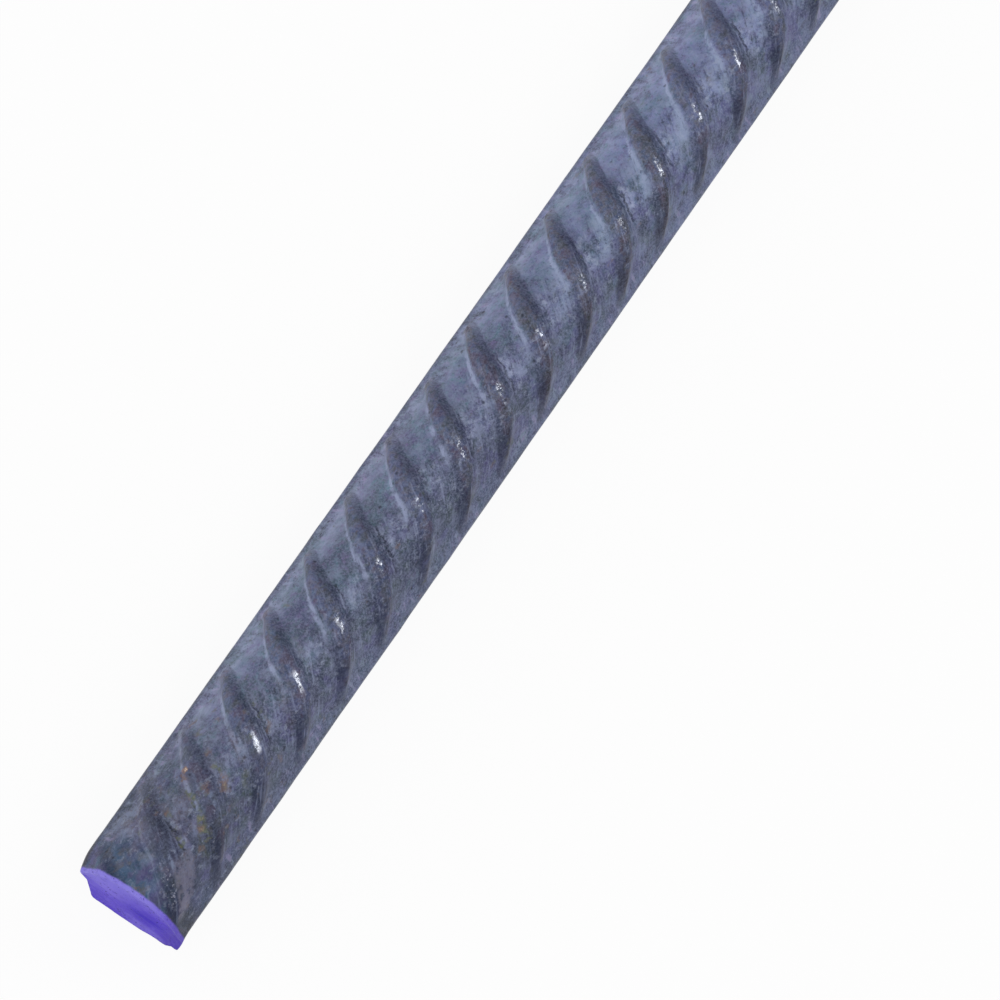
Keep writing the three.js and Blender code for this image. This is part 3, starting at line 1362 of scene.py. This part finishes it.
class EndPaint(Pattern):
    """Brushed marking paint: where it lies near the face, its streaks and its film."""

    name = "end paint"
    inputs = ("Vector", "Face X", "Reach")
    outputs = ("Color", "Mask", "Height")
    noises = {
        "streak": Noise(0.9, 4.0, 0.65, 0.5, scale=(1.0, 0.35, 1.1)),
        "cloud": Noise(3.2, 2.0, place=(0.2, 0.5, 0.1)),
        "mottle": Noise(0.7, 4.0, 0.65, place=(0.3, 0.2, 0.6), scale=(1.0, 0.6, 1.0)),
        "dots": Noise(0.30, 2.0, 0.6, place=(0.5, 0.9, 0.4)),
        "edge": Noise(1.1, 3.0, 0.6),
    }
    # painted shade of a shallow dish right of the middle of the face
    hollow: Oval = Oval((-2.4, 5.8), (3.1, 2.8))
    # a paler oval left of the middle of the face
    thin: Oval = Oval((2.8, 6.9), (3.0, 2.2))
    toward_light_lean: float = 0.6
    ground: tuple[Term, ...] = (Ease("streak", 0.35, 0.68), (102, 82, 210), (114, 94, 221))
    layers: tuple[Layer, ...] = (
        ((98, 77, 203), 0.4, Ease("cloud", 0.45, 0.65)),
        # painted light: paler towards the top and the lit side of the face
        ((149, 139, 236), 0.80, Ease("sweep", 6.0 * MM, 12.5 * MM)),
        ((150, 136, 238), 0.44, "thin"),
        ((145, 132, 232), 0.45, Ease("Z", 3.4 * MM, 2.2 * MM), Ease("Y", 1.2 * MM, -2.5 * MM)),
        ((138, 124, 228), 0.40, Ease("mottle", 0.52, 0.66)),
        ((90, 74, 184), 0.35, Ease("mottle", 0.46, 0.34)),
        # painted shade of the dish
        ((64, 42, 194), 0.82, "hollow"),
        ((48, 36, 128), 1.0, Ease("dots", 0.53, 0.70), Ease("streak", 0.46, 0.60)),
        ((62, 50, 128), 0.36, Ease("Y", -3.2 * MM, -6.4 * MM)),
    )
    ragged: float = 0.3 * MM
    reach: tuple[float, float] = (1.45, 0.75)
    mottle_height: float = 0.8

    def draw(self, w: Wiring) -> dict[str, Term]:
        """Draws it.

        Args:
            w: Places nodes in the group, and knows its inputs and noises.

        Returns:
            The paint's colour, where it lies, and its height.
        """
        w.known |= dict(w.split("Vector").items())
        w.known["sweep"] = w.plus("Z", w.times("Y", self.toward_light_lean))
        w.known["thin"] = self.thin.mask(w, "cloud")
        w.known["hollow"] = self.hollow.mask(w, "cloud")
        inward = w.math("SUBTRACT", "X", "Face X")
        share = w.math("DIVIDE", w.plus(inward, w.around("edge", self.ragged)), "Reach")
        return {
            "Color": w.coats(w.mix(*self.ground), self.layers),
            "Mask": w.ease(share, *self.reach),
            "Height": w.plus("streak", w.times("mottle", self.mottle_height)),
        }


class TornSteel(Pattern):
    """A sheared face: smooth where the blade slid over it, and grainy where the steel tore."""

    name = "torn steel"
    inputs = ("Vector",)
    outputs = ("Color", "Roughness", "Height")
    noises = {
        "drag": Noise(0.26, scale=(1.0, 1.0, 0.2)),
        "grain": Noise(0.34, 5.0, 0.72, place=(0.1, 0.7, 0.5)),
        "bloom": Noise(2.2, 5.0, 0.66, place=(0.4, 0.3, 0.8)),
    }
    slid_from: float = 6.6 * MM
    slid_to: float = 8.6 * MM
    slid_fray: float = 3.0 * MM
    torn: tuple[Term, ...] = (Ease("grain", 0.36, 0.64), (92, 92, 97), (138, 138, 143))
    smeared: tuple[Term, ...] = (Ease("drag", 0.36, 0.64), (128, 129, 136), (160, 161, 167))
    rust: Layer = ((118, 92, 74), 0.34, Ease("bloom", 0.54, 0.66))
    roughness: Fade = Fade("slid", 0.58, 0.38)
    grain_height: float = 0.6

    def draw(self, w: Wiring) -> dict[str, Term]:
        """Draws it.

        Args:
            w: Places nodes in the group, and knows its inputs and noises.

        Returns:
            Colour, roughness and height.
        """
        height = w.plus(w.split("Vector")["Z"], w.around("bloom", self.slid_fray))
        w.known["slid"] = w.ease(height, self.slid_from, self.slid_to)
        colour = w.mix("slid", w.mix(*self.torn), w.mix(*self.smeared))
        torn = w.math("MULTIPLY_ADD", "grain", self.grain_height, "drag")
        return {
            "Color": w.coats(colour, (self.rust,)),
            "Roughness": self.roughness,
            "Height": w.blend("slid", torn, "drag"),
        }


@dataclass(frozen=True)
class Finish:
    """What every finish shares: a material with object coordinates and one shader."""

    name: str
    depth: float = 0.05 * MM

    def make(self) -> bpy.types.Material:
        """Builds the material, with object coordinates known as at.

        Returns:
            The material.
        """
        material = bpy.data.materials.new(self.name)
        material.use_nodes = True
        w = Wiring(material.node_tree)
        w.tree.nodes.clear()
        shader = w.node("BsdfPrincipled")
        w.put(w.node("OutputMaterial").inputs["Surface"], shader.outputs[0])
        w.known["at"] = w.node("TexCoord").outputs["Object"]
        for label, term in self.dress(w).items():
            w.put(shader.inputs[label], term)
        return material

    def dress(self, w: Wiring) -> dict[str, Term]:
        """Works out what feeds the shader.

        Args:
            w: Places nodes in the material, and knows the object coordinates.

        Returns:
            What feeds each of the shader's inputs.
        """
        raise NotImplementedError

    def bump(self, w: Wiring, height: Term) -> Socket:
        """Turns a height, whose full range is the finish's depth, into a bump.

        Args:
            w: Places nodes in the material.
            height: The height.

        Returns:
            The bumped normal.
        """
        made = w.node("Bump")
        for label, term in (("Strength", 1.0), ("Distance", self.depth), ("Height", height)):
            w.put(made.inputs[label], term)
        return made.outputs["Normal"]


@dataclass(frozen=True)
class MillScaleSteel(Finish):
    """The barrel: mill scale, handled and specked near the marked end, with paint at its rim.

    Zones and reaches are distances in from the marked face.
    """

    name: str = "mill_scale_steel"
    depth: float = 0.06 * MM
    face_x: float = 0.0
    paint_reach: float = 0.45 * MM
    paint_roughness: float = 0.45
    handled: Ease = Ease("inward", 27.0 * MM, 6.0 * MM)
    near_paint: Ease = Ease("inward", 7.0 * MM, 0.5 * MM)
    stained: Zone = Zone(1 * MM, 9 * MM, 13 * MM, 40 * MM)
    left_stains: Zone = Zone(4 * MM, 9 * MM, 14 * MM, 19 * MM)
    left_least: float = 0.25
    speck_roughness: float = 0.7
    chip: Triple = (14.4 * MM, 3.3 * MM, 11.5 * MM)
    chip_fray: float = 2.4 * MM
    chip_layers: tuple[Layer, ...] = (
        ((146, 116, 98), 0.75, Ease("off chip", 1.66 * MM, 1.38 * MM)),
        ((210, 190, 176), 0.85, Ease("off chip", 1.42 * MM, 1.28 * MM)),
    )
    burnished: Zone = Zone(14 * MM, 19 * MM, 32 * MM, 40 * MM)
    burnished_again: Ease = Ease("inward", 74 * MM, 98 * MM)
    burnished_share: float = 0.15
    specular: float = 0.25

    def dress(self, w: Wiring) -> dict[str, Term]:
        """Feeds the shader: scale, then specks and the chip, then paint over all.

        Args:
            w: Places nodes in the material, and knows the object coordinates.

        Returns:
            What feeds each of the shader's inputs.
        """
        for name in ("relief", "rib_sine", "rib_cosine", "row_angle", "seam"):
            w.known[name] = w.node("Attribute", attribute_name=name).outputs["Fac"]
        x = w.split("at")["X"]
        rib = RibPlace().use(
            w, X=x, Sine="rib_sine", Cosine="rib_cosine", Row_Angle="row_angle", Relief="relief"
        )
        w.known["inward"] = w.math("SUBTRACT", x, self.face_x)
        again = w.times(self.burnished_again, self.burnished_share)
        scale = ScaleColour().use(
            w,
            Vector="at",
            Seam="seam",
            Handled=self.handled,
            Near_Paint=self.near_paint,
            Burnished=w.math("MAXIMUM", w.window("inward", self.burnished), again),
            **{label: mask for label, mask in rib.items() if label in ScaleColour.inputs},
        )
        left = w.blend(w.window("inward", self.left_stains), self.left_least, 1.0)
        left = w.times(rib["Stained Foot"], left)
        specks = RustSpecks().use(
            w,
            Vector="at",
            Amount=w.window("inward", self.stained),
            Foot=w.math("MAXIMUM", left, rib["Stained Heel"]),
        )
        paint = EndPaint().use(w, Vector="at", Face_X=self.face_x, Reach=self.paint_reach)
        far = w.node("VectorMath", operation="DISTANCE")
        w.put(far.inputs[0], "at")
        w.put(far.inputs[1], (self.face_x + self.chip[0], *self.chip[1:]))
        ragged = w.times(specks["Ragged"], self.chip_fray)
        w.known["off chip"] = w.plus(far.outputs["Value"], ragged)
        colour = w.mix(specks["Mask"], scale["Color"], specks["Color"])
        colour = w.coats(colour, self.chip_layers)
        rough = w.blend(specks["Mask"], scale["Roughness"], self.speck_roughness)
        covered = w.math("MAXIMUM", specks["Mask"], paint["Mask"])
        return {
            "Base Color": w.mix(paint["Mask"], colour, paint["Color"]),
            "Roughness": w.blend(paint["Mask"], rough, self.paint_roughness),
            "Specular IOR Level": self.specular,
            "Metallic": w.times(scale["Metal"], w.math("SUBTRACT", 1.0, covered)),
            "Normal": self.bump(w, scale["Height"]),
        }


@dataclass(frozen=True)
class PaintedFace(Finish):
    """The marked end's face: paint brushed over torn steel."""

    name: str = "painted_shear_face"
    roughness: float = 0.6
    specular: float = 0.05

    def dress(self, w: Wiring) -> dict[str, Term]:
        """Feeds the shader from the paint alone, with the steel's drag lines under it.

        Args:
            w: Places nodes in the material, and knows the object coordinates.

        Returns:
            What feeds each of the shader's inputs.
        """
        paint = EndPaint().use(w, Vector="at")
        steel = TornSteel().use(w, Vector="at")
        return {
            "Base Color": paint["Color"],
            "Roughness": self.roughness,
            "Specular IOR Level": self.specular,
            "Normal": self.bump(w, w.plus(paint["Height"], steel["Height"])),
        }


@dataclass(frozen=True)
class BareFace(Finish):
    """The plain end's face: torn steel with a breath of rust."""

    name: str = "bare_shear_face"
    metal: float = 0.8

    def dress(self, w: Wiring) -> dict[str, Term]:
        """Feeds the shader from the torn steel.

        Args:
            w: Places nodes in the material, and knows the object coordinates.

        Returns:
            What feeds each of the shader's inputs.
        """
        steel = TornSteel().use(w, Vector="at")
        return {
            "Base Color": steel["Color"],
            "Roughness": steel["Roughness"],
            "Metallic": self.metal,
            "Normal": self.bump(w, steel["Height"]),
        }


@dataclass
class Studio:
    """A pale floor, soft light and the camera."""

    marked_face: Vector
    floor_height: float
    eye_mm: Triple = (-142.461, -7.725, 628.667)
    right: Triple = (0.544173, -0.820263, 0.176191)
    up: Triple = (0.780378, 0.571986, 0.252669)
    lens: float = 217.22
    sensor: float = 36.0
    clip: tuple[float, float] = (0.05, 20.0)
    floor_half: float = 4.0
    floor_tone: float = 0.88
    floor_glow: float = 0.93
    left_sky: float = 0.98
    right_sky: float = 0.58
    overhead_sky: float = 0.93
    end_sky: float = 0.12
    marked_sky: float = 0.75
    side_blend: float = 0.1
    lamp_place: Triple = (0.62, -0.46, 0.68)
    lamp_spread: tuple[float, float] = (0.32, 0.60)
    lamp_power: float = 1.5
    lamp_aim: float = 60 * MM

    def camera(self) -> None:
        """Places the camera over the marked end, looking down and along the bar."""
        data = bpy.data.cameras.new("camera")
        data.lens, data.sensor_width = self.lens, self.sensor
        data.clip_start, data.clip_end = self.clip
        right, up = Vector(self.right).normalized(), Vector(self.up).normalized()
        back = right.cross(up).normalized()
        place = self.marked_face + Vector(self.eye_mm) * MM
        camera = self.hang("camera", data, place, (right, back.cross(right), back))
        bpy.context.scene.camera = camera

    def floor(self) -> None:
        """Lays a wide pale floor that shows as white to the camera and keeps a shadow."""
        mesh = bpy.data.meshes.new("floor")
        corners = ((-1, -1), (1, -1), (1, 1), (-1, 1))
        half, height = self.floor_half, self.floor_height
        mesh.from_pydata([(x * half, y * half, height) for x, y in corners], [], [range(4)])
        floor = bpy.data.objects.new("floor", mesh)
        bpy.context.scene.collection.objects.link(floor)
        material = bpy.data.materials.new("floor")
        material.use_nodes = True
        w = Wiring(material.node_tree)
        w.tree.nodes.clear()
        path = w.node("LightPath").outputs
        seen = w.math("MAXIMUM", path["Is Camera Ray"], path["Is Glossy Ray"])
        seen = w.math("MAXIMUM", seen, path["Is Transmission Ray"])
        matt = w.node("BsdfDiffuse")
        matt.inputs["Color"].default_value = (*[self.floor_tone] * 3, 1.0)
        both = w.node("MixShader")
        w.put(both.inputs[0], w.times(seen, self.floor_glow))
        w.put(both.inputs[1], matt.outputs[0])
        w.put(both.inputs[2], w.node("Emission").outputs[0])
        w.put(w.node("OutputMaterial").inputs["Surface"], both.outputs[0])
        mesh.materials.append(material)

    def sky(self) -> None:
        """Lights the bar from its two sides, overhead and the marked end.

        The square of a direction's share across the bar times that side's level, plus the
        cube of its share upwards times the level overhead, plus the square of its share
        towards the marked end times the level there, plus an even level.
        """
        world = bpy.data.worlds.new("studio")
        bpy.context.scene.world = world
        world.use_nodes = True
        w = Wiring(world.node_tree)
        w.known |= dict(w.split(w.node("TexCoord").outputs["Generated"]).items())
        ease = Ease("Y", -self.side_blend, self.side_blend)
        side = w.blend(ease, self.right_sky, self.left_sky)
        across = w.math("POWER", w.math("ABSOLUTE", "Y"), 2.0)
        upward = w.math("POWER", w.math("ABSOLUTE", "Z"), 3.0)
        ahead = w.math("POWER", w.math("MAXIMUM", w.times("X", -1.0), 0.0), 2.0)
        sides = w.plus(w.times(upward, self.overhead_sky), w.times(across, side))
        ground = world.node_tree.nodes["Background"]
        w.put(ground.inputs["Color"], (255, 255, 255))
        level = w.plus(sides, w.times(ahead, self.marked_sky), self.end_sky)
        w.put(ground.inputs["Strength"], level)

    def lamp(self) -> None:
        """Hangs an oval soft light that faces the middle of the view."""
        data = bpy.data.lights.new("front", "AREA")
        data.shape, data.energy = "ELLIPSE", self.lamp_power
        data.size, data.size_y = self.lamp_spread
        place = self.marked_face + Vector(self.lamp_place)
        aim = self.marked_face + Vector((self.lamp_aim, 0, 0))
        away = (place - aim).normalized()
        across = away.cross(Vector((1, 0, 0))).normalized()
        self.hang("front", data, place, (across.cross(away), across, away))

    @staticmethod
    def hang(
        name: str, data: bpy.types.ID, place: Vector, axes: tuple[Vector, Vector, Vector]
    ) -> bpy.types.Object:
        """Puts a camera or a lamp in the scene.

        Args:
            name: Its name.
            data: Its camera or light data.
            place: Where it hangs.
            axes: Where its own X, Y and Z point.

        Returns:
            The object.
        """
        hung = bpy.data.objects.new(name, data)
        hung.matrix_world = Matrix.Translation(place) @ Matrix(axes).transposed().to_4x4()
        bpy.context.scene.collection.objects.link(hung)
        return hung

    def build(self) -> None:
        """Builds the whole studio."""
        self.camera()
        self.floor()
        self.sky()
        self.lamp()
        bpy.context.scene.view_settings.view_transform = "Standard"


def main() -> None:
    """Builds the bar and the studio, and logs the bar's triangle count."""
    logging.basicConfig(level=logging.INFO, format="%(name)s: %(message)s")
    low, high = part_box(NODE)
    bar = DeformedBar(low, high)
    piece = bar.build()
    for finish in (MillScaleSteel(face_x=low.x), PaintedFace(), BareFace()):
        piece.data.materials.append(finish.make())
    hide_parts(NODE)
    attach(piece, BODY)
    triangles = sum(len(face.vertices) - 2 for face in piece.data.polygons)
    LOG.info("%s: %d triangles", piece.name, triangles)
    centre = Vector((low.x, 0.0, bar.axis_height))
    reach = CORE_RADIUS + bar.crescents.height + FLOOR_GAP
    Studio(centre, bar.axis_height - reach).build()
    LOG.info("studio: floor, sky, a lamp and a camera")


if __name__ == "__main__":
    main()
